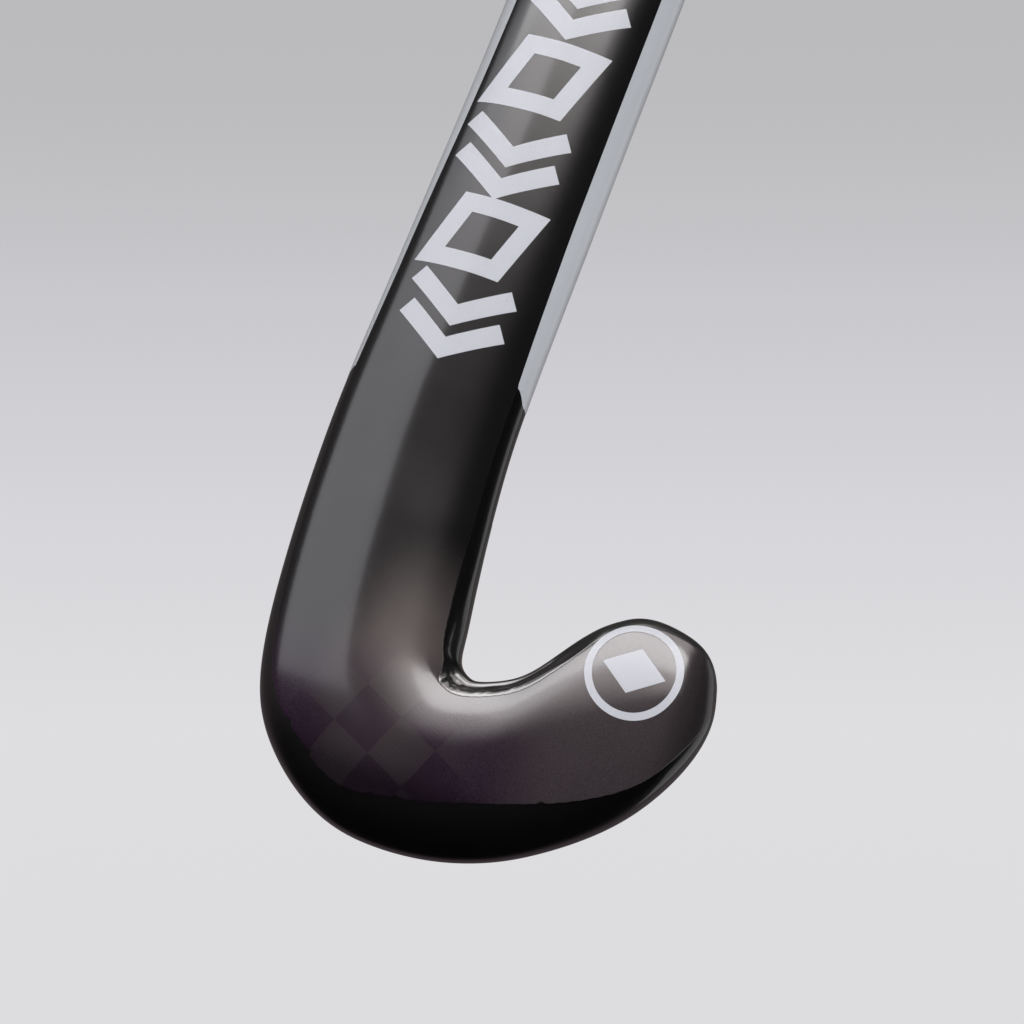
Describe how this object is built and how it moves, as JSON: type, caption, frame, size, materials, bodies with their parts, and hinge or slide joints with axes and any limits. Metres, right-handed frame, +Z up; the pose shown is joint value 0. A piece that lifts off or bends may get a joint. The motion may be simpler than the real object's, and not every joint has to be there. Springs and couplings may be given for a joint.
{
  "type": "field hockey stick",
  "caption": "Field hockey stick with a tight hook, low bow, carbon laminate over foam cores, white edge films and a taped grip.",
  "frame": {"origin": "centre of the butt's flat end, where the hand's end of the handle starts; the stick hangs down from it", "axes": "+Z up along the handle axis out of the butt, +X towards the toe, +Y out of the flat playing face side; the rounded back faces -Y"},
  "size_m": [0.1195, 0.061, 0.927],
  "materials": {
    "carbon_laminate": "clear-coated dark carbon laminate",
    "core_foam": "light structural foam",
    "carbon_web": "uncoated carbon laminate",
    "head_foam": "hard filled foam",
    "damper_rubber": "soft damping rubber",
    "butt_plug": "hard foam",
    "cap_rubber": "moulded rubber disc",
    "face_ply": "clear-coated woven carbon",
    "spread_tow": "clear-coated spread-tow weave with a purple tint",
    "hook_ply": "glossy black wear ply",
    "dark_film": "dark printed film under clear coat",
    "white_film": "white printed film under clear coat",
    "white_decal": "white decal",
    "underlay": "thin foam tape",
    "grip_tape": "matt perforated polyurethane tape",
    "finish_tape": "stretched vinyl tape"
  },
  "bodies": {
    "root": {"laminate_shell": "carbon_laminate", "core_toe_side": "core_foam", "core_heel_side": "core_foam", "centre_web": "carbon_web", "head_core": "head_foam", "damper_plug": "damper_rubber", "butt_plug": "butt_plug", "butt_cap": "cap_rubber", "face_ply": "face_ply", "heel_ply": "spread_tow", "hook_ply": "hook_ply", "back_film": "dark_film", "face_film": "dark_film", "side_film_toe": "white_film", "side_film_heel": "white_film", "shaft_motif": "white_decal", "toe_emblem": "white_decal", "grip_underlay": "underlay", "grip_tape": "grip_tape", "finish_tape": "finish_tape"}
  },
  "joints": []
}
